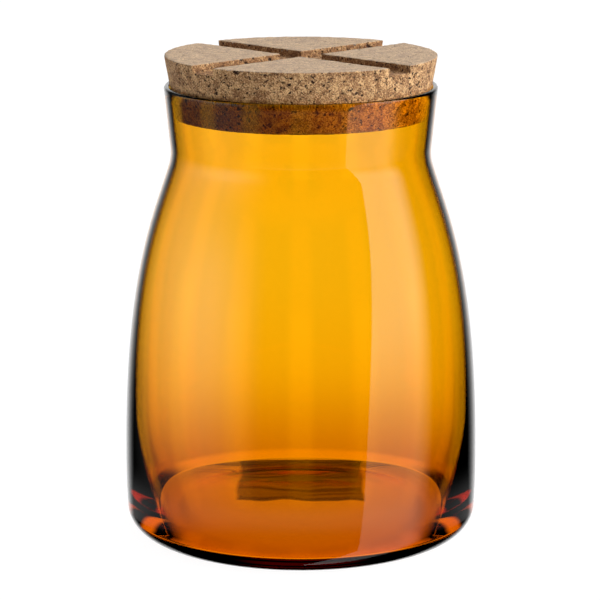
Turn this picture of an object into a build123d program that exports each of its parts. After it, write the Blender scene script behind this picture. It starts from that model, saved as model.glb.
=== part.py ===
from build123d import *
import os
from math import cos, radians, sin, sqrt, tan

# A storage jar of coloured glass with a tapered cork lid.
# Lengths are in millimetres and angles in degrees. The origin is on the surface that the
# jar stands on, at the centre of its base, and +Z points up out of the mouth. Both pieces
# are round about Z, so each section is drawn on the XZ plane as (radius, height).

# Glass jar, outside
jar_height = 178.7        # top of the rim
belly_radius = 70.0       # widest part
belly_height = 27.5       # height of the widest part
belly_swell = 325.0       # radius of the gentle curve from the belly down to the heel
heel_radius = 10.4        # round edge between the side and the underside
waist_radius = 51.0       # narrowest part, under the neck
waist_height = 152.5      # height of the narrowest part
waist_curve = 18.0        # radius of the hollow curve round the waist
shoulder_lean = 16.7      # lean of the shoulder where it runs into the waist curve
neck_flare = 5.7          # lean of the neck, outwards from the waist to the rim
belly_pull = 77.0         # how far the side stays upright above the belly
shoulder_pull = 20.3      # how far the shoulder stays straight below the waist

# Glass jar, inside. The wall is even at the neck and shoulder and heavy at the foot
wall = 2.2                # thickness at the neck and waist, and the width of the rounded rim
belly_wall = 3.5          # widest radius outside less the widest radius inside
inner_belly_height = 50.0  # height of the widest part inside
inner_swell = 175.0       # radius of the curve that runs in from there down to the floor
inner_belly_pull = 58.0   # how far the inside stays upright above its widest part
inner_shoulder_pull = 16.5
base_thickness = 5.5      # glass between the underside and the floor, at the centre
push_up = 2.0             # how far the underside is domed upwards at its centre
bearing_width = 7.0       # width of the flat ring that the jar stands on
floor_rise = 1.4          # how far the floor is domed upwards at its centre
floor_fillet = 1.0        # round corner between the floor and the inside of the wall

# Cork lid
lid_height = 24.0         # full height of the stopper
lid_stand = 12.0          # how far the lid stands up above the rim
lid_taper = 10.0          # lean of the lid's side
lid_clearance = 0.2       # gap between the lid and the inner edge of the rim
lid_edge = 0.5            # rounding of the lid's top and bottom edges
groove_width = 11.0       # the two crossed grooves in the top of the lid
groove_depth = 3.0
groove_angles = (45.0, 135.0)

os.makedirs("parts", exist_ok=True)

# Direction of the neck wall and of the shoulder, and the outward normal of the neck wall
lean = radians(shoulder_lean)
flare = radians(neck_flare)
taper = radians(lid_taper)
shoulder_up = Vector(-sin(lean), 0, cos(lean))
neck_up = Vector(sin(flare), 0, cos(flare))
neck_out = Vector(cos(flare), 0, -sin(flare))
waist_centre = Vector(waist_radius + waist_curve, 0, waist_height)

# The rim is a full round on the middle of the neck wall
rim_round = wall / 2
middle_of_waist = waist_centre - neck_out * (waist_curve + rim_round)
rise = (jar_height - rim_round - middle_of_waist.Z) / cos(flare)
rim_centre = middle_of_waist + neck_up * rise
rim_inside = rim_centre - neck_out * rim_round

# The flat ring under the jar runs inwards from where the rounded heel meets the ground
heel_reach = sqrt((belly_swell - heel_radius) ** 2 - (belly_height - heel_radius) ** 2)
heel_start = belly_radius - belly_swell + heel_reach
bearing_radius = heel_start - bearing_width

# The underside and the floor are both domed upwards, the floor more gently
dome_radius = (bearing_radius**2 + push_up**2) / (2 * push_up)
dome_centre = push_up - dome_radius
inside_radius = belly_radius - belly_wall
floor_radius = (inside_radius**2 + floor_rise**2) / (2 * floor_rise)
floor_centre = push_up + base_thickness - floor_radius


def flat(point):
    """Give a point or direction in space as (radius, height) on the section's plane."""
    return (point.X, point.Z)


def draw_side(belly, swell, belly_pull, shoulder_pull, inset):
    """Draw one face of the glass wall from the ground up to the rim, and close its section.

    The neck and the waist lie inset inside the jar's outer face. Returns the foot, where the
    arc below the belly reaches the ground, and the end at the rim.
    """
    foot = Vector(belly.X - swell + sqrt(swell**2 - belly.Z**2), 0, 0)
    reach = waist_curve + inset
    waist_start = waist_centre - Vector(cos(lean), 0, sin(lean)) * reach
    waist_end = waist_centre - neck_out * reach
    rim_side = rim_centre + neck_out * (rim_round - inset)
    RadiusArc(flat(foot), flat(belly), -swell)
    Bezier(
        flat(belly),
        flat(belly + Vector(0, 0, belly_pull)),
        flat(waist_start - shoulder_up * shoulder_pull),
        flat(waist_start),
    )
    ThreePointArc(flat(waist_start), flat(waist_centre - Vector(reach, 0, 0)), flat(waist_end))
    Line(flat(waist_end), flat(rim_side))
    Polyline(flat(rim_inside), (0, rim_inside.Z), (0, 0), flat(foot))
    return foot, rim_side


# --- Glass jar: a turned shell, open at the mouth ---
belly = Vector(belly_radius, 0, belly_height)
inner_belly = Vector(inside_radius, 0, inner_belly_height)

with BuildSketch(Plane.XZ) as outside:
    with BuildLine():
        foot, rim_outside = draw_side(belly, belly_swell, belly_pull, shoulder_pull, 0)
        TangentArc(flat(rim_outside), flat(rim_inside), tangent=flat(neck_up))
    make_face()
    heel = outside.vertices().sort_by_distance(flat(foot))[0]
    fillet(heel, radius=heel_radius)
    with Locations((0, dome_centre)):
        Circle(dome_radius, mode=Mode.SUBTRACT)

with BuildSketch(Plane.XZ) as cavity:
    with BuildLine():
        draw_side(inner_belly, inner_swell, inner_belly_pull, inner_shoulder_pull, wall)
    make_face()
    with Locations((0, floor_centre)):
        Circle(floor_radius, mode=Mode.SUBTRACT)
    floor_corner = cavity.vertices().sort_by(Axis.Y)[0]
    fillet(floor_corner, radius=floor_fillet)

with BuildPart() as glass_jar:
    revolve(outside.sketch, axis=Axis.Z)
    revolve(cavity.sketch, axis=Axis.Z, mode=Mode.SUBTRACT)

glass_jar.part.label = "glass_jar"
export_step(glass_jar.part, "parts/glass_jar.step")


# --- Cork lid: a tapered stopper that wedges into the mouth ---
lid_top = jar_height + lid_stand
lid_bottom = lid_top - lid_height


def lid_radius(height):
    """Give the radius of the lid's side, which clears the rim's round by lid_clearance."""
    beside_rim = rim_centre.X - (rim_round + lid_clearance) / cos(taper)
    return beside_rim + (height - rim_centre.Z) * tan(taper)


with BuildPart() as cork_lid:
    with BuildSketch(Plane.XZ):
        with BuildLine():
            Polyline(
                (0, lid_bottom),
                (lid_radius(lid_bottom), lid_bottom),
                (lid_radius(lid_top), lid_top),
                (0, lid_top),
                close=True,
            )
        make_face()
    revolve(axis=Axis.Z)
    fillet(cork_lid.edges().filter_by(GeomType.CIRCLE), radius=lid_edge)
    # two grooves cross at the centre and run out through the side
    with BuildSketch(Plane.XY.offset(lid_top)):
        for angle in groove_angles:
            Rectangle(2 * lid_radius(lid_top), groove_width, rotation=angle)
    extrude(amount=-groove_depth, mode=Mode.SUBTRACT)

cork_lid.part.label = "cork_lid"
export_step(cork_lid.part, "parts/cork_lid.step")

print(f"glass {glass_jar.part.volume / 1000:.0f} cm3, cork {cork_lid.part.volume / 1000:.0f} cm3")
print(f"mouth {2 * rim_inside.X:.1f} mm across, lid {2 * lid_radius(lid_top):.1f} mm at its top")
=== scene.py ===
"""An apothecary jar of amber glass with a cork stopper, and the studio that it stands in."""

from math import atan2, cos, pi, radians, sin, sqrt, tan

import bpy
import numpy as np
from bpy.props import FloatProperty, FloatVectorProperty, IntProperty, PointerProperty
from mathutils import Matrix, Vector, kdtree, noise


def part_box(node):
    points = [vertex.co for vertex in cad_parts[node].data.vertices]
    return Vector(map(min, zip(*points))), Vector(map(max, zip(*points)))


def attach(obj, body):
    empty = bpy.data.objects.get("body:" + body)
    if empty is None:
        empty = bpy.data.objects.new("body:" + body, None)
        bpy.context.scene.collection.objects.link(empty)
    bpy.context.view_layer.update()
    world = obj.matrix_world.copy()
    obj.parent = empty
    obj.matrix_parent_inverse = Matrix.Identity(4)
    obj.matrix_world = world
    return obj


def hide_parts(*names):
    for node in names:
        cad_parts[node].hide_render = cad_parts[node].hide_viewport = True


bl_info = {
    "name": "Apothecary Jar",
    "version": (1, 0, 0),
    "blender": (4, 5, 0),
    "location": "3D View > Sidebar > Jar",
    "description": "Builds an amber glass jar with a cork stopper, and a studio to show it in",
    "category": "Object",
}

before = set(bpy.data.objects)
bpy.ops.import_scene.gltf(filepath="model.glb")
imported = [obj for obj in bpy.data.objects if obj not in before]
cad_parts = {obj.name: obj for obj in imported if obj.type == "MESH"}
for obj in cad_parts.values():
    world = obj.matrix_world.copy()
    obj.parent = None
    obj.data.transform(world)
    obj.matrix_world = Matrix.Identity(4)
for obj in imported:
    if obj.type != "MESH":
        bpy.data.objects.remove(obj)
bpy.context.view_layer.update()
JAR_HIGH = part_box("glass_jar")[1]
LID_LOW, LID_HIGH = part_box("cork_lid")
MM = 0.001


def length(name, description, millimetres):
    """A setting that holds a length, given here in millimetres."""
    return FloatProperty(
        name=name, description=description, default=millimetres * MM, unit="LENGTH", precision=5
    )


def angle(name, description, degrees_of_arc):
    """A setting that holds an angle, given here in degrees."""
    return FloatProperty(
        name=name, description=description, default=radians(degrees_of_arc), subtype="ANGLE"
    )


def colour(name, description, rgb):
    """A setting that holds a colour."""
    return FloatVectorProperty(
        name=name, description=description, default=rgb, subtype="COLOR", min=0.0, max=1.0
    )


def number(name, description, value):
    """A setting that holds a plain number."""
    return FloatProperty(name=name, description=description, default=value)


class GlassJarSettings(bpy.types.PropertyGroup):
    """Sizes and tint of the glass jar."""

    belly_height: length("Belly height", "Height of the widest part outside", 27.5)
    belly_swell: length("Belly swell", "Radius of the curve through the belly", 325)
    heel_radius: length("Heel radius", "Round edge at the foot", 10.4)
    waist_radius: length("Waist radius", "Radius of the narrowest part", 51)
    waist_height: length("Waist height", "Height of the narrowest part", 152.5)
    waist_curve: length("Waist curve", "Radius of the hollow curve at the waist", 18)
    shoulder_lean: angle("Shoulder lean", "Slope of the shoulder where it meets the waist", 16.7)
    neck_flare: angle("Neck flare", "How far the neck opens towards the rim", 5.7)
    belly_pull: length("Belly pull", "How far the wall stays upright above the belly", 77)
    shoulder_pull: length("Shoulder pull", "How far the shoulder stays straight", 20.3)
    wall: length("Wall", "Thickness at the neck, and width of the rounded rim", 2.2)
    belly_wall: length("Belly wall", "Widest radius outside less widest radius inside", 3.5)
    inner_belly_height: length("Inner belly height", "Height of the widest part inside", 50)
    inner_swell: length("Inner swell", "Radius of the curve from there to the floor", 175)
    inner_belly_pull: length("Inner belly pull", "How far the inside stays upright", 58)
    inner_shoulder_pull: length("Inner shoulder pull", "Straight part inside the shoulder", 16.5)
    base_thickness: length("Base thickness", "Glass between the underside and the floor", 5.5)
    push_up: length("Push-up", "Rise of the domed underside", 2)
    bearing_width: length("Bearing width", "Width of the ring that the jar stands on", 7)
    floor_rise: length("Floor rise", "How far the floor is domed upwards at its centre", 1.4)
    floor_fillet: length("Floor fillet", "Round corner around the floor", 1.0)
    floor_ripple: length("Floor ripple", "Height of the faint rings pressed in the floor", 0.025)
    segments: IntProperty(name="Segments", description="Faces around the jar", default=288)
    skin: colour("Skin", "Tint of the surface, the same at any thickness", (0.98, 0.795, 0.28))
    tint: colour("Tint", "Colour that the glass lets through", (0.981, 0.872, 0.0))
    depth_of_tint: number("Depth of tint", "How strongly the glass colours light, per metre", 800)


class CorkLidSettings(bpy.types.PropertyGroup):
    """Sizes and colours of the cork stopper."""

    taper: angle("Taper", "Slope of the side to the lid's axis", 10)
    clearance: length("Clearance", "Gap between the lid and the inside of the rim", 0.2)
    edge: length("Edge", "Rounding of the edges", 0.5)
    groove_width: length("Groove width", "Width of the two crossed grooves", 11)
    groove_depth: length("Groove depth", "Depth of the two crossed grooves", 3)
    mesh_step: length("Mesh step", "Size of the faces", 0.55)
    granule: length("Granule", "Size of the pressed granules", 2.4)
    wear: number("Wear", "How unevenly the edges are worn", 1.3)
    unevenness: length("Unevenness", "How far the surface dips from granule to granule", 0.09)
    grit: length("Grit", "Depth of the finest roughness", 0.05)
    pits: IntProperty(name="Pits", description="Number of open pits in the surface", default=1100)
    smallest_pit: length("Smallest pit", "Radius of the smallest pits", 0.32)
    pit_spread: length("Pit spread", "How much more the largest pits have", 0.45)
    pit_depth: length("Pit depth", "Depth of an open pit", 0.6)
    pale: colour("Pale", "Colour of the palest granules", (0.72, 0.46, 0.22))
    middling: colour("Middling", "Colour of most of the cork", (0.42, 0.215, 0.085))
    brown: colour("Brown", "Colour of the darkest granules and the seams", (0.19, 0.085, 0.034))
    # Pale sanding dust on the top, with painted sheen: the top is painted paler for how light falls
    # on it
    dust_and_painted_sheen: colour("Dust and painted sheen", "Colour of the dust that sanding left on the top", (0.58, 0.5, 0.4))
    bark: colour("Bark", "Colour of bark specks and the inside of pits", (0.05, 0.02, 0.008))


class StudioSettings(bpy.types.PropertyGroup):
    """Camera, lights and surroundings."""

    camera_distance: length("Camera distance", "From the jar's axis, along the floor", 1072.6)
    camera_height: length("Camera height", "Above the floor", 334.1)
    camera_aside: length("Camera aside", "To the right of the jar's axis", -0.35)
    camera_tilt: angle("Camera tilt", "How far the camera looks down", 12.697)
    lens: number("Lens", "Focal length in millimetres", 166.27)
    backlight: number("Backlight", "White cards seen through the glass", 1.2)
    key_light: number("Key light", "Tall soft box on the right", 2.3)
    key_lean: number("Key lean", "How far the soft box leans back", 0.37)
    side_light: number("Side light", "Soft light mirrored on the left", 1.6)
    floor_glow: number("Floor glow", "Glow from the floor, mirrored in the neck", 0.22)
    room_light: number("Room light", "Plain light from all around", 0.03)
    top_light: number("Top light", "Plain light from above", 1.38)
    left_light: number("Left light", "Light on the cork from the left", 0.9)
    key_on_cork: number("Key on cork", "How much stronger the key light falls on the cork", 3.15)
    glass_gain: number("Glass gain", "How much stronger light falls on cork in the glass", 1.7)
    glass_fill: number("Glass fill", "Plain light on the cork inside the glass", 0.12)


# --- Outlines: half sections as (radius, height) points, turned about the jar's axis.
# The last number given to a curve is how many steps it is drawn in.


def arc(centre, start, end, steps):
    """Points on the short way round a circle from start to end, both included."""
    first = atan2(start.y - centre.y, start.x - centre.x)
    sweep = atan2(end.y - centre.y, end.x - centre.x) - first
    sweep = (sweep + pi) % (2 * pi) - pi
    size = (start - centre).length
    turns = [first + sweep * i / steps for i in range(steps + 1)]
    return [centre + size * Vector((cos(t), sin(t))) for t in turns]


def bezier(start, start_pull, end_pull, end, steps):
    """Points on a cubic curve from start to end, both included."""
    points = []
    for i in range(steps + 1):
        t = i / steps
        u = 1 - t
        pulls = 3 * u * u * t * start_pull + 3 * u * t * t * end_pull
        points.append(u**3 * start + pulls + t**3 * end)
    return points


def straight(start, end, steps):
    """Points on a line from start to end, both included."""
    return [start.lerp(end, i / steps) for i in range(steps + 1)]


class JarOutline:
    """The jar's half section, worked out from its sizes."""

    def __init__(self, jar):
        self.jar = jar
        lean, flare = jar.shoulder_lean, jar.neck_flare
        self.neck_up = Vector((sin(flare), cos(flare)))
        self.neck_out = Vector((cos(flare), -sin(flare)))
        self.shoulder_up = Vector((-sin(lean), cos(lean)))
        self.shoulder_out = Vector((cos(lean), sin(lean)))
        self.waist_centre = Vector((jar.waist_radius + jar.waist_curve, jar.waist_height))
        self.rim_round = jar.wall / 2
        waist_middle = self.waist_centre - self.neck_out * (jar.waist_curve + self.rim_round)
        rise = (JAR_HIGH.z - self.rim_round - waist_middle.y) / cos(flare)
        self.rim_centre = waist_middle + self.neck_up * rise

    def upper_face(self, belly, belly_pull, shoulder_pull, inset):
        """One face of the wall from its belly to its end at the rim."""
        reach = self.jar.waist_curve + inset
        waist_start = self.waist_centre - self.shoulder_out * reach
        waist_end = self.waist_centre - self.neck_out * reach
        rim_side = self.rim_centre + self.neck_out * (self.rim_round - inset)
        return (
            bezier(
                belly,
                belly + Vector((0, belly_pull)),
                waist_start - self.shoulder_up * shoulder_pull,
                waist_start,
                60,
            )
            + arc(self.waist_centre, waist_start, waist_end, 16)[1:]
            + straight(waist_end, rim_side, 8)[1:]
        )

    def points(self):
        """The whole section: underside, outside, rim, inside and floor, from axis to axis."""
        jar = self.jar
        belly = Vector((JAR_HIGH.x, jar.belly_height))
        swell_centre = belly - Vector((jar.belly_swell, 0))
        heel_reach = sqrt(
            (jar.belly_swell - jar.heel_radius) ** 2 - (jar.belly_height - jar.heel_radius) ** 2
        )
        heel_centre = Vector((swell_centre.x + heel_reach, jar.heel_radius))
        heel_top = swell_centre + (heel_centre - swell_centre).normalized() * jar.belly_swell
        bearing = heel_centre.x - jar.bearing_width
        dome_radius = (bearing**2 + jar.push_up**2) / (2 * jar.push_up)
        dome_centre = Vector((0, jar.push_up - dome_radius))

        inner_belly = Vector((JAR_HIGH.x - jar.belly_wall, jar.inner_belly_height))
        inner_centre = inner_belly - Vector((jar.inner_swell, 0))
        floor_top = jar.push_up + jar.base_thickness
        floor_radius = (inner_belly.x**2 + jar.floor_rise**2) / (2 * jar.floor_rise)
        floor_centre = Vector((0, floor_top - floor_radius))
        corner = meeting(
            inner_centre,
            jar.inner_swell - jar.floor_fillet,
            floor_centre,
            floor_radius + jar.floor_fillet,
        )
        corner_top = inner_centre + (corner - inner_centre).normalized() * jar.inner_swell
        corner_foot = floor_centre + (corner - floor_centre).normalized() * floor_radius

        bearing_edge = Vector((bearing, 0))
        heel_foot = Vector((heel_centre.x, 0))
        underside = arc(dome_centre, Vector((0, jar.push_up)), bearing_edge, 24)
        foot = straight(bearing_edge, heel_foot, 3)[1:]
        foot += arc(heel_centre, heel_foot, heel_top, 24)[1:]
        outside = arc(swell_centre, heel_top, belly, 8)[1:]
        outside += self.upper_face(belly, jar.belly_pull, jar.shoulder_pull, 0)[1:]
        inside = self.upper_face(
            inner_belly, jar.inner_belly_pull, jar.inner_shoulder_pull, jar.wall
        )
        rim_top = self.rim_centre + self.neck_up * self.rim_round
        rim = arc(self.rim_centre, outside[-1], rim_top, 9)[1:]
        rim += arc(self.rim_centre, rim_top, inside[-1], 9)[1:]
        floor = arc(inner_centre, inner_belly, corner_top, 24)[1:]
        floor += arc(corner, corner_top, corner_foot, 16)[1:]
        floor += arc(floor_centre, corner_foot, Vector((0, floor_top)), 56)[1:]
        return underside + foot + outside + rim + inside[-2::-1] + floor


def meeting(first, first_radius, second, second_radius):
    """Where two circles cross, on the side away from the axis."""
    apart = second - first
    along = (first_radius**2 - second_radius**2 + apart.length_squared) / (2 * apart.length)
    across = sqrt(first_radius**2 - along**2)
    direction = apart.normalized()
    foot = first + direction * along
    sides = [foot + across * Vector((-direction.y, direction.x)) * s for s in (1, -1)]
    return max(sides, key=lambda point: point.x)


def turned_mesh(name, outline, segments, lift=None):
    """Turns an outline that starts and ends on the axis into a closed mesh.

    lift(radius, height, turn) gives how much higher a point stands.
    """
    turns = np.linspace(0, 2 * pi, segments, endpoint=False)
    radius = np.array([p.x for p in outline[1:-1]])[:, None]
    height = np.array([p.y for p in outline[1:-1]])[:, None] + np.zeros((1, segments))
    if lift:
        height = height + lift(radius, height, turns[None, :])
    x, y = radius * np.cos(turns), radius * np.sin(turns)
    rings = np.stack([x, y, height], axis=-1).reshape(-1, 3)
    ends = [[0, 0, outline[0].y], [0, 0, outline[-1].y]]
    vertices = np.concatenate([rings, ends])
    first_pole, last_pole = len(rings), len(rings) + 1
    faces = []
    for ring in range(len(outline) - 3):
        for i in range(segments):
            j = (i + 1) % segments
            low, high = ring * segments, (ring + 1) * segments
            faces.append((low + i, low + j, high + j, high + i))
    last = (len(outline) - 3) * segments
    for i in range(segments):
        j = (i + 1) % segments
        faces.append((first_pole, j, i))
        faces.append((last_pole, last + i, last + j))
    mesh = bpy.data.meshes.new(name)
    mesh.from_pydata(vertices.tolist(), [], faces)
    mesh.shade_smooth()
    mesh.validate()
    return mesh


def show(name, mesh, material):
    """Puts a mesh in the scene under a name, with its material."""
    piece = bpy.data.objects.new(name, mesh)
    piece.data.materials.append(material)
    bpy.context.scene.collection.objects.link(piece)
    return piece


# --- Shader nodes


class Wiring:
    """Adds nodes to one tree and joins them up."""

    def __init__(self, tree):
        self.tree = tree
        tree.nodes.clear()

    def node(self, kind, inputs=None, **settings):
        """A new node. inputs maps socket names or numbers to values or to other sockets."""
        made = self.tree.nodes.new(kind)
        for key, value in settings.items():
            setattr(made, key, value)
        for key, value in (inputs or {}).items():
            self.put(value, made.inputs[key])
        return made

    def put(self, value, socket):
        """Joins a socket to another, or sets its value."""
        if isinstance(value, bpy.types.NodeSocket):
            self.tree.links.new(value, socket)
        elif socket.type == "RGBA":
            socket.default_value = (*value[:3], 1.0)
        else:
            socket.default_value = value

    def math(self, operation, *values):
        """The result of a sum on numbers or sockets."""
        made = self.node("ShaderNodeMath", dict(enumerate(values)), operation=operation)
        return made.outputs[0]

    def vector(self, operation, *values):
        """The result of a sum on vectors."""
        made = self.node("ShaderNodeVectorMath", dict(enumerate(values)), operation=operation)
        return made.outputs[0]

    def step(self, value, low, high):
        """0 where value is at low and 1 at high, with a ramp between; low may be the larger."""
        made = self.node(
            "ShaderNodeMapRange",
            {"Value": value, "From Min": low, "From Max": high},
            interpolation_type="SMOOTHSTEP",
        )
        return made.outputs[0]

    def mix(self, share, first, second):
        """A colour between first, at share 0, and second, at share 1."""
        made = self.node("ShaderNodeMix", data_type="RGBA")
        for socket, value in ((0, share), (6, first), (7, second)):
            self.put(value, made.inputs[socket])
        return made.outputs[2]


def new_material(name):
    """An empty node material and its wiring."""
    material = bpy.data.materials.new(name)
    material.use_nodes = True
    return material, Wiring(material.node_tree)


def amber_glass(jar):
    """Clear glass, tinted through its thickness."""
    material, wiring = new_material("clear_amber_glass")
    surface = wiring.node(
        "ShaderNodeBsdfPrincipled",
        {
            "Base Color": jar.skin,
            "Roughness": 0.0,
            "IOR": 1.5,
            "Transmission Weight": 1.0,
        },
    )
    inside = wiring.node(
        "ShaderNodeVolumeAbsorption", {"Color": jar.tint, "Density": jar.depth_of_tint}
    )
    wiring.node(
        "ShaderNodeOutputMaterial", {"Surface": surface.outputs[0], "Volume": inside.outputs[0]}
    )
    return material


def cork_grain(lid):
    """Pressed cork, shared by the lid's faces: granules, growth lines, seams, cracks and pits.

    Pit is 1 inside an open pit. Contrast is how strongly the granules differ, about 1, and
    Dust and painted sheen is the share of pale sanding dust and painted sheen, which paints the
    top paler for how light falls on it. Browning and painted shade, 0 to 1, makes the cork
    browner: partly fresh-cut cork, partly painted shade in the recess of the grooves.
    Colour is the cork's colour, and Height its relief, about 0 to 1.
    """
    group = bpy.data.node_groups.new("cork_grain", "ShaderNodeTree")
    for name in ("Pit", "Contrast", "Dust and painted sheen", "Browning and painted shade"):
        group.interface.new_socket(name, in_out="INPUT", socket_type="NodeSocketFloat")
    group.interface.new_socket("Colour", in_out="OUTPUT", socket_type="NodeSocketColor")
    group.interface.new_socket("Height", in_out="OUTPUT", socket_type="NodeSocketFloat")
    wiring = Wiring(group)
    given = wiring.node("NodeGroupInput").outputs
    place = wiring.node("ShaderNodeTexCoord").outputs["Object"]
    per_granule = 1 / lid.granule

    # The scale of a pattern is how many times it repeats in the width of a granule
    def cloud(where, scale, detail, roughness=0.5):
        inputs = {
            "Vector": where,
            "Scale": scale * per_granule,
            "Detail": detail,
            "Roughness": roughness,
        }
        return wiring.node("ShaderNodeTexNoise", inputs).outputs

    def cells(where, scale, kind="F1"):
        inputs = {"Vector": where, "Scale": scale * per_granule}
        return wiring.node("ShaderNodeTexVoronoi", inputs, feature=kind).outputs

    def red_of(socket):
        return wiring.node("ShaderNodeSeparateColor", {"Color": socket}).outputs[0]

    # Bent cells are the granules, and each has growth lines that run its own way
    bend = wiring.vector("SUBTRACT", cloud(place, 0.9, 3.0)["Color"], (0.5, 0.5, 0.5))
    reach = (lid.granule,) * 3
    warped = wiring.vector("MULTIPLY_ADD", bend, reach, place)
    granule = cells(warped, 1.0)["Color"]
    crumb = red_of(cells(warped, 3.6)["Color"])
    mottle = wiring.step(cloud(place, 4.2, 8.0, 0.8)["Fac"], 0.43, 0.58)
    spun = wiring.node(
        "ShaderNodeVectorRotate",
        {"Vector": warped, "Rotation": granule},
        rotation_type="EULER_XYZ",
    )
    lines = wiring.node(
        "ShaderNodeTexWave",
        {"Vector": spun.outputs[0], "Scale": 0.8 * per_granule, "Distortion": 5.0, "Detail": 3.0},
    ).outputs["Fac"]

    # Tone runs from pale through middling to brown
    tone = wiring.math("MULTIPLY", red_of(granule), 0.3)
    for pattern, share in ((crumb, 0.2), (mottle, 0.4), (lines, 0.15)):
        tone = wiring.math("MULTIPLY_ADD", pattern, share, tone)
    spread = wiring.math("MULTIPLY", wiring.math("SUBTRACT", tone, 0.5), given["Contrast"])
    # Browning and painted shade: a browner tone, given in the grooves for fresh-cut cork and as
    # painted shade in the recess
    tone = wiring.math("ADD", wiring.math("ADD", spread, 0.45), given["Browning and painted shade"])
    shown = wiring.mix(wiring.step(tone, 0.2, 0.5), lid.pale, lid.middling)
    shown = wiring.mix(wiring.step(tone, 0.5, 0.8), shown, lid.brown)

    # Brown seams lie in patches, and the pressing left cracks, bark specks and pits
    patchy = wiring.step(cloud(place, 1.1, 2.0)["Fac"], 0.42, 0.6)
    seam = wiring.step(cells(warped, 2.0, "DISTANCE_TO_EDGE")["Distance"], 0.075, 0.02)
    seam = wiring.math("MULTIPLY", wiring.math("MULTIPLY", seam, patchy), given["Contrast"])
    broken = wiring.step(cloud(place, 1.7, 2.0)["Fac"], 0.56, 0.62)
    crack = wiring.step(cells(warped, 1.0, "DISTANCE_TO_EDGE")["Distance"], 0.1, 0.05)
    crack = wiring.math("MULTIPLY", crack, broken)
    speck = wiring.step(cloud(warped, 3.2, 3.0, 0.6)["Fac"], 0.64, 0.67)
    speck = wiring.math("MAXIMUM", speck, crack)
    rough_pit = wiring.math("MULTIPLY_ADD", cloud(place, 3.0, 3.0)["Fac"], 1.2, given["Pit"])
    dark = wiring.math("MAXIMUM", wiring.step(rough_pit, 0.85, 0.95), speck)
    shown = wiring.mix(wiring.math("MULTIPLY", seam, 0.8), shown, lid.brown)
    shown = wiring.mix(dark, shown, lid.bark)
    # Pale sanding dust with painted sheen, which paints the top paler for how light falls on it
    shown = wiring.mix(given["Dust and painted sheen"], shown, lid.dust_and_painted_sheen)

    height = wiring.math("SUBTRACT", cloud(place, 5.0, 5.0, 0.65)["Fac"], dark)
    height = wiring.math("SUBTRACT", height, wiring.math("MULTIPLY", seam, 0.4))
    wiring.node("NodeGroupOutput", {"Colour": shown, "Height": height})
    return group


def cork_material(name, grain, contrast, dust_and_painted_sheen, painted_shade, depth):
    """A face of the cork: the settings of its grain, and how deep its relief is."""
    material, wiring = new_material(name)
    pit = wiring.node("ShaderNodeAttribute", attribute_name="pit").outputs["Fac"]
    cork = wiring.node("ShaderNodeGroup", node_tree=grain)
    settings = {"Pit": pit, "Contrast": contrast, "Dust and painted sheen": dust_and_painted_sheen, "Browning and painted shade": painted_shade}
    for socket, value in settings.items():
        wiring.put(value, cork.inputs[socket])
    bump = wiring.node(
        "ShaderNodeBump", {"Height": cork.outputs["Height"], "Strength": 0.8, "Distance": depth}
    )
    surface = wiring.node(
        "ShaderNodeBsdfPrincipled",
        {
            "Base Color": cork.outputs["Colour"],
            "Roughness": 0.85,
            "IOR": 1.4,
            "Sheen Weight": 0.05,
            "Sheen Roughness": 0.5,
            "Normal": bump.outputs[0],
        },
    )
    wiring.node("ShaderNodeOutputMaterial", {"Surface": surface.outputs[0]})
    return material


# --- Cork lid: a solid given by its distance function, meshed finely and roughened

WEAR_PER_METRE = 350
GRIT_PER_METRE = 900


def rounded_meeting(first, second, size):
    """Distance to what lies in both solids, with the edge between them rounded."""
    beyond = np.hypot(np.maximum(first + size, 0), np.maximum(second + size, 0))
    return np.minimum(np.maximum(first, second), -size) + beyond


class CorkShape:
    """The stopper as a distance function: a cone frustum with two crossed grooves in its top."""

    def __init__(self, lid, outline):
        self.lid = lid
        rim = outline.rim_centre
        reach = rim.x - (outline.rim_round + lid.clearance) / cos(lid.taper)
        self.radius_at_ground = reach - rim.y * tan(lid.taper)

    def radius(self, height):
        """Radius of the cone at a height."""
        return self.radius_at_ground + height * tan(self.lid.taper)

    def distance(self, points, edge):
        """Distance of points outside the solid, below 0 inside it."""
        lid = self.lid
        x, y, z = points.T
        side = (np.hypot(x, y) - self.radius(z)) * cos(lid.taper)
        solid = rounded_meeting(side, z - LID_HIGH.z, edge)
        solid = rounded_meeting(solid, LID_LOW.z - z, edge)
        for across in ((x - y) / sqrt(2), (x + y) / sqrt(2)):
            beside = lid.groove_width / 2 - np.abs(across)
            above = z - (LID_HIGH.z - lid.groove_depth)
            solid = rounded_meeting(solid, np.minimum(beside, above), edge)
        return solid

    def onto_surface(self, points, edge):
        """Moves points that lie near the surface onto it, and gives the normals there."""
        small = 0.01 * MM
        for _ in range(4):
            value = self.distance(points, edge)
            slope = [
                (self.distance(points + small * axis, edge) - value) / small for axis in np.eye(3)
            ]
            slope = np.stack(slope, axis=-1)
            slope /= np.maximum(np.linalg.norm(slope, axis=1), 0.2)[:, None]
            points = points - slope * value[:, None]
        return points, slope


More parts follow.
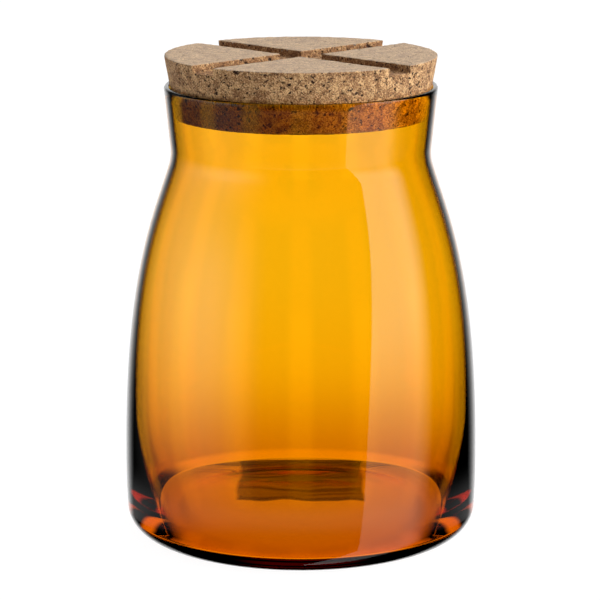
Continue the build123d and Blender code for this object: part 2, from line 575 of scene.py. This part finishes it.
def rough_block(shape):
    """A coarse mesh of the stopper with its grooves, for remeshing."""
    lid = shape.lid
    low, high = shape.radius(LID_LOW.z), shape.radius(LID_HIGH.z)
    corners = ((0, LID_LOW.z), (low, LID_LOW.z), (high, LID_HIGH.z), (0, LID_HIGH.z))
    outline = [Vector(corner) for corner in corners]
    block = bpy.data.objects.new("block", turned_mesh("block", outline, segments=96))
    bpy.context.scene.collection.objects.link(block)
    cutters = []
    for turn in (pi / 4, 3 * pi / 4):
        bpy.ops.mesh.primitive_cube_add(size=1, location=(0, 0, LID_HIGH.z), rotation=(0, 0, turn))
        cutter = bpy.context.object
        cutter.scale = (4 * high, lid.groove_width, 2 * lid.groove_depth)
        cut = block.modifiers.new("groove", "BOOLEAN")
        cut.operation, cut.object, cut.solver = "DIFFERENCE", cutter, "EXACT"
        cutters.append(cutter)
    fine = block.modifiers.new("fine", "REMESH")
    fine.mode, fine.voxel_size = "VOXEL", lid.mesh_step
    remeshed = block.evaluated_get(bpy.context.evaluated_depsgraph_get())
    made = bpy.data.meshes.new_from_object(remeshed)
    for spare in (*cutters, block):
        bpy.data.objects.remove(spare)
    return made


def cork_mesh(shape):
    """The stopper's mesh, with worn edges, uneven granules and open pits."""
    lid = shape.lid
    mesh = rough_block(shape)
    count = len(mesh.vertices)
    points = np.empty(count * 3)
    mesh.vertices.foreach_get("co", points)
    points = points.reshape(-1, 3)
    wear = np.array([noise.noise(Vector(p) * WEAR_PER_METRE) for p in points])
    edge = lid.edge * np.clip(0.9 + lid.wear * wear, 0.35, 2.0)
    points, normals = shape.onto_surface(points, edge)

    swell = np.array([noise.noise(Vector(p) / lid.granule * 0.9) for p in points])
    grit = np.array([noise.noise(Vector(p) * GRIT_PER_METRE) for p in points])
    sunk = lid.unevenness * (0.5 - swell) + lid.grit * (0.5 - grit)

    tree = kdtree.KDTree(count)
    for i, p in enumerate(points):
        tree.insert(p, i)
    tree.balance()
    chance = np.random.default_rng(7)
    pit = np.zeros(count)
    for _ in range(lid.pits):
        at = chance.integers(count)
        size = lid.smallest_pit + lid.pit_spread * chance.random() ** 4
        long_way = Vector(chance.normal(size=3)).normalized()
        stretch = 1 + 1.6 * chance.random()
        for near, i, _far in tree.find_range(Vector(points[at]), size * stretch):
            offset = near - Vector(points[at])
            along = offset.dot(long_way)
            beside = (offset - along * long_way).length
            reach = sqrt((along / stretch) ** 2 + beside**2) / size
            pit[i] = max(pit[i], min(1.0, 1.6 * max(0.0, 1 - reach)))
    sunk = np.maximum(sunk, 0) + lid.pit_depth * pit
    points = points - normals * sunk[:, None]
    mesh.vertices.foreach_set("co", points.ravel())
    layer = mesh.attributes.new("pit", "FLOAT", "POINT")
    layer.data.foreach_set("value", pit.astype(np.float32))
    mesh.update()
    mesh.shade_smooth()
    return mesh


# --- Studio


class Sky:
    """Patterns on the surroundings, placed by direction in degrees.

    Azimuth 0 is behind the jar, as the camera sees it, and azimuth 90 is on its right.
    """

    CARD_SOFTNESS = 4

    def __init__(self, wiring):
        self.wiring = wiring
        direction = wiring.node("ShaderNodeTexCoord").outputs["Generated"]
        part = wiring.node("ShaderNodeSeparateXYZ", {"Vector": direction}).outputs
        self.up = part["Z"]
        self.azimuth = wiring.math("ARCTAN2", part["X"], part["Y"])
        self.elevation = wiring.math("ARCSINE", part["Z"])

    def ramp(self, value, low, high):
        """0 where an angle is at low and 1 at high."""
        return self.wiring.step(value, radians(low), radians(high))

    def between(self, value, low, low_soft, high, high_soft):
        """1 where an angle lies between low and high, with a soft edge at each."""
        rise = self.ramp(value, low - low_soft, low + low_soft)
        fall = self.ramp(value, high + high_soft, high - high_soft)
        return self.wiring.math("MULTIPLY", rise, fall)

    def turned(self, centre):
        """The azimuth, counted from a centre."""
        turned = self.wiring.math("SUBTRACT", self.azimuth, radians(centre))
        return self.wiring.math("WRAP", turned, pi, -pi)

    def card(self, centre, half_width, softness, low, high):
        """A white card at an azimuth, between two elevations."""
        away = self.wiring.math("ABSOLUTE", self.turned(centre))
        wide = self.ramp(away, half_width + softness, half_width - softness)
        tall = self.between(self.elevation, low, self.CARD_SOFTNESS, high, self.CARD_SOFTNESS)
        return self.wiring.math("MULTIPLY", wide, tall)


def studio_world(studio):
    """White seen by the camera, cards seen through the glass, and soft boxes at the sides.

    Elevations are above 0 over the horizon and below 0 under it.
    """
    world = bpy.data.worlds.new("studio")
    world.use_nodes = True
    wiring = Wiring(world.node_tree)
    sky = Sky(wiring)

    def dimmed(value, low, high, floor):
        """A value that is whole above the elevation high and only a share of it below low."""
        share = wiring.math("MULTIPLY", sky.ramp(sky.elevation, low, high), 1 - floor)
        return wiring.math("MULTIPLY", value, wiring.math("ADD", share, floor))

    # Through the glass: a bright card behind, narrow cards all round, and white underneath
    cards = dimmed(sky.card(0, 12, 5, -44, 6), -27, -15, 0.62)
    cards = wiring.math("MULTIPLY_ADD", sky.card(0, 12, 5, 8, 70), 0.3, cards)
    for centre in range(45, 360, 45):
        cards = wiring.math("MAXIMUM", cards, sky.card(centre, 8, 4, -44, 6))
    cards = wiring.math("MAXIMUM", cards, sky.ramp(sky.elevation, -38, -46))
    seen_through = wiring.math("MULTIPLY", cards, studio.backlight)

    # The key light has one sharp edge and leans back, and is dimmer near the floor
    leaning = wiring.math("MULTIPLY_ADD", sky.elevation, studio.key_lean, sky.azimuth)
    key = dimmed(sky.between(leaning, 88, 9, 132.3, 0.6), -14, 3, 0.42)
    key = wiring.math("MULTIPLY", key, sky.ramp(sky.elevation, 65, 40))
    key = wiring.math("MULTIPLY", key, studio.key_light)
    side = wiring.math(
        "MULTIPLY",
        sky.between(sky.turned(-105), -28, 25, 28, 45),
        sky.between(sky.elevation, -10, 13, 19, 13),
    )
    side = wiring.math("MULTIPLY", side, studio.side_light)

    # Mirrored in the glass: both lights, the card behind, and a faint glow from the floor
    low_band = sky.between(sky.elevation, -20.3, 1.5, -17.2, 1.5)
    low_band = wiring.math("MULTIPLY", low_band, studio.floor_glow)
    glow = wiring.math("MAXIMUM", sky.card(0, 27, 12, -42, 70), low_band)
    mirrored = wiring.math("ADD", wiring.math("ADD", key, side), glow)

    # On the cork and the floor, and, stronger, on the cork behind the glass
    above = wiring.math("MULTIPLY", wiring.step(sky.up, 0.6, 0.98), studio.top_light)
    left = wiring.math("MULTIPLY", sky.card(-70, 22, 18, -5, 45), studio.left_light)
    lighting = wiring.math("MULTIPLY_ADD", key, studio.key_on_cork, left)
    lighting = wiring.math("ADD", wiring.math("ADD", lighting, above), studio.room_light)
    inside_glass = wiring.math("MULTIPLY_ADD", lighting, studio.glass_gain, studio.glass_fill)

    path = wiring.node("ShaderNodeLightPath").outputs
    from_cork = wiring.math("MINIMUM", path["Diffuse Depth"], 1.0)
    through = wiring.mix(from_cork, seen_through, inside_glass)
    value = wiring.mix(path["Is Glossy Ray"], lighting, mirrored)
    value = wiring.mix(path["Is Transmission Ray"], value, through)
    value = wiring.mix(path["Is Camera Ray"], value, (1.0, 1.0, 1.0))
    background = wiring.node("ShaderNodeBackground", {"Color": value, "Strength": 1.0})
    wiring.node("ShaderNodeOutputWorld", {"Surface": background.outputs[0]})
    return world


# Size and place of the dark card of painted shade
PAINTED_SHADE_CARD_SIZE = (110 * MM, 66 * MM, 1)
PAINTED_SHADE_CARD_PLACE = (0, 31 * MM, -0.5 * MM)


def painted_shade_card():
    """Painted shade in the base: a dark card in uneven layers, with wavy edges, and thin dark lines
    beside its far end.
    """
    material, wiring = new_material("painted_shade_card")
    place = wiring.node("ShaderNodeTexCoord").outputs["Object"]
    part = wiring.node("ShaderNodeSeparateXYZ", {"Vector": place}).outputs

    def cloud(where, scale, detail):
        inputs = {"Vector": where, "Scale": scale, "Detail": detail}
        return wiring.node("ShaderNodeTexNoise", inputs).outputs["Fac"]

    def ramp(value, low, high):
        return wiring.step(value, low * MM, high * MM)

    wave = cloud(place, 40.0, 1.0)
    forward = wiring.math("MULTIPLY_ADD", wave, 16 * MM, part["Y"])
    outwards = wiring.math("MULTIPLY_ADD", wave, 5 * MM, wiring.math("ABSOLUTE", part["X"]))
    stretched = {"X": wiring.math("MULTIPLY", part["X"], 0.06), "Y": forward}
    along = wiring.node("ShaderNodeCombineXYZ", stretched).outputs[0]
    layers = cloud(along, 210.0, 2.0)

    core = wiring.math("MULTIPLY", ramp(forward, -20, -18), ramp(outwards, 30.5, 28))
    darkness = wiring.math("MULTIPLY_ADD", wiring.step(layers, 0.4, 0.6), 0.18, 0.74)
    core = wiring.math("MULTIPLY", core, darkness)
    lines = wiring.math("MULTIPLY", wiring.step(layers, 0.45, 0.6), ramp(forward, 12, 26))
    lines = wiring.math("MULTIPLY", lines, ramp(outwards, 54, 36))
    cover = wiring.math("MAXIMUM", core, wiring.math("MULTIPLY", lines, 0.6))
    paint = wiring.node("ShaderNodeBsdfDiffuse", {"Color": (0.02, 0.02, 0.02)})
    clear = wiring.node("ShaderNodeBsdfTransparent")
    shaders = {0: cover, 1: clear.outputs[0], 2: paint.outputs[0]}
    both = wiring.node("ShaderNodeMixShader", shaders)
    wiring.node("ShaderNodeOutputMaterial", {"Surface": both.outputs[0]})
    return material


def white_floor():
    """A pale floor that shows as white, with the faintest shadow under the jar."""
    material, wiring = new_material("white_floor")
    paint = wiring.node("ShaderNodeBsdfDiffuse", {"Color": (0.85, 0.85, 0.85)})
    glow = wiring.node("ShaderNodeEmission", {"Color": (1.0, 1.0, 1.0), "Strength": 1.06})
    path = wiring.node("ShaderNodeLightPath").outputs
    share = wiring.math("MULTIPLY", path["Is Camera Ray"], 0.92)
    shaders = {0: share, 1: paint.outputs[0], 2: glow.outputs[0]}
    both = wiring.node("ShaderNodeMixShader", shaders)
    wiring.node("ShaderNodeOutputMaterial", {"Surface": both.outputs[0]})
    return material


# --- Operators


class JAR_OT_glass_jar(bpy.types.Operator):
    """Build the glass jar"""

    bl_idname = "jar.glass_jar"
    bl_label = "Glass Jar"

    def execute(self, context):
        jar = context.scene.glass_jar
        outline = JarOutline(jar)
        floor_reach = JAR_HIGH.x - jar.belly_wall

        def ripple(radius, height, turn):
            """Faint uneven rings in the floor, stronger towards its edge and fading up the wall."""
            on_floor = np.clip((2.2 * jar.base_thickness - height) / jar.base_thickness, 0, 1)
            inside = np.where(height > jar.push_up + 0.4 * jar.base_thickness, on_floor, 0)
            share = radius / floor_reach
            bend = 1.5 * np.sin(2 * turn + 0.6) + 0.8 * np.sin(3 * turn)
            waves = np.sin(42 * share + bend)
            return jar.floor_ripple * inside * waves * share * share

        mesh = turned_mesh("glass_jar_visible", outline.points(), jar.segments, ripple)
        piece = show("jar_glass", mesh, amber_glass(jar))
        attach(piece, "jar")
        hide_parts("glass_jar")
        return {"FINISHED"}


class JAR_OT_cork_lid(bpy.types.Operator):
    """Build the cork stopper"""

    bl_idname = "jar.cork_lid"
    bl_label = "Cork Lid"

    def execute(self, context):
        lid = context.scene.cork_lid
        shape = CorkShape(lid, JarOutline(context.scene.glass_jar))
        grain = cork_grain(lid)
        mesh = cork_mesh(shape)
        cut = cork_material("cut_cork", grain, contrast=1.3, dust_and_painted_sheen=0.0, painted_shade=0.0, depth=0.3 * MM)
        piece = show("lid_cork", mesh, cut)
        # The sanded top: pale dust and painted sheen from the light above
        mesh.materials.append(
            cork_material("sanded_cork_with_painted_sheen", grain, contrast=1.0, dust_and_painted_sheen=0.4, painted_shade=0.0, depth=0.2 * MM)
        )
        # The grooves: browner cork, partly painted shade in the recess
        mesh.materials.append(
            cork_material("grooved_cork", grain, contrast=1.1, dust_and_painted_sheen=0.0, painted_shade=0.14, depth=0.3 * MM)
        )
        sanded_with_painted_sheen, grooved = 1, 2
        top = LID_HIGH.z - 0.4 * lid.groove_depth
        bottom = LID_HIGH.z - 1.1 * lid.groove_depth
        for face in mesh.polygons:
            middle = face.center
            if middle.z > top and face.normal.z > 0.6:
                face.material_index = sanded_with_painted_sheen
            elif middle.z > bottom and middle.xy.length < shape.radius(middle.z) - 0.7 * MM:
                face.material_index = grooved
        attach(piece, "lid")
        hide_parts("cork_lid")
        return {"FINISHED"}


class JAR_OT_studio(bpy.types.Operator):
    """Set up the camera, the surroundings and the floor"""

    bl_idname = "jar.studio"
    bl_label = "Studio"

    def execute(self, context):
        scene, studio = context.scene, context.scene.studio
        scene.view_settings.view_transform = "Standard"
        scene.world = studio_world(studio)

        camera = bpy.data.objects.new("camera", bpy.data.cameras.new("camera"))
        camera.data.lens = studio.lens
        camera.data.sensor_width = 36
        camera.location = (studio.camera_aside, -studio.camera_distance, studio.camera_height)
        camera.rotation_euler = (pi / 2 - studio.camera_tilt, 0, 0)
        scene.collection.objects.link(camera)
        scene.camera = camera

        bpy.ops.mesh.primitive_plane_add(size=6)
        floor = context.object
        floor.name = "floor"
        floor.data.materials.append(white_floor())
        floor.visible_glossy = False
        floor.visible_transmission = False

        # Painted shade: a dark card under the back of the jar, where only the base of the glass
        # shows it
        bpy.ops.mesh.primitive_plane_add(size=1, location=PAINTED_SHADE_CARD_PLACE)
        painted_shade = context.object
        painted_shade.name = "painted_shade_card"
        painted_shade.scale = PAINTED_SHADE_CARD_SIZE
        bpy.ops.object.transform_apply(location=False, rotation=False, scale=True)
        painted_shade.data.materials.append(painted_shade_card())
        # Seen only through the glass, as painted shade in its base
        for kind in ("camera", "diffuse", "glossy", "shadow"):
            setattr(painted_shade, "visible_" + kind, False)
        return {"FINISHED"}


class JAR_PT_panel(bpy.types.Panel):
    """Lists the jar's operators"""

    bl_idname = "JAR_PT_panel"
    bl_label = "Apothecary Jar"
    bl_space_type = "VIEW_3D"
    bl_region_type = "UI"
    bl_category = "Jar"

    def draw(self, context):
        """One button for each operator."""
        for operator in OPERATORS:
            self.layout.operator(operator.bl_idname)


SETTINGS = {"glass_jar": GlassJarSettings, "cork_lid": CorkLidSettings, "studio": StudioSettings}
OPERATORS = (JAR_OT_studio, JAR_OT_glass_jar, JAR_OT_cork_lid)
CLASSES = (*SETTINGS.values(), *OPERATORS, JAR_PT_panel)


def register():
    """Adds the settings, the operators and the panel to Blender."""
    for made in CLASSES:
        bpy.utils.register_class(made)
    for name, group in SETTINGS.items():
        setattr(bpy.types.Scene, name, PointerProperty(type=group))


def unregister():
    """Takes them out again."""
    for name in SETTINGS:
        delattr(bpy.types.Scene, name)
    for made in reversed(CLASSES):
        bpy.utils.unregister_class(made)


def main():
    """Builds everything with its default sizes."""
    register()
    bpy.ops.jar.studio()
    bpy.ops.jar.glass_jar()
    bpy.ops.jar.cork_lid()


if __name__ == "__main__":
    main()
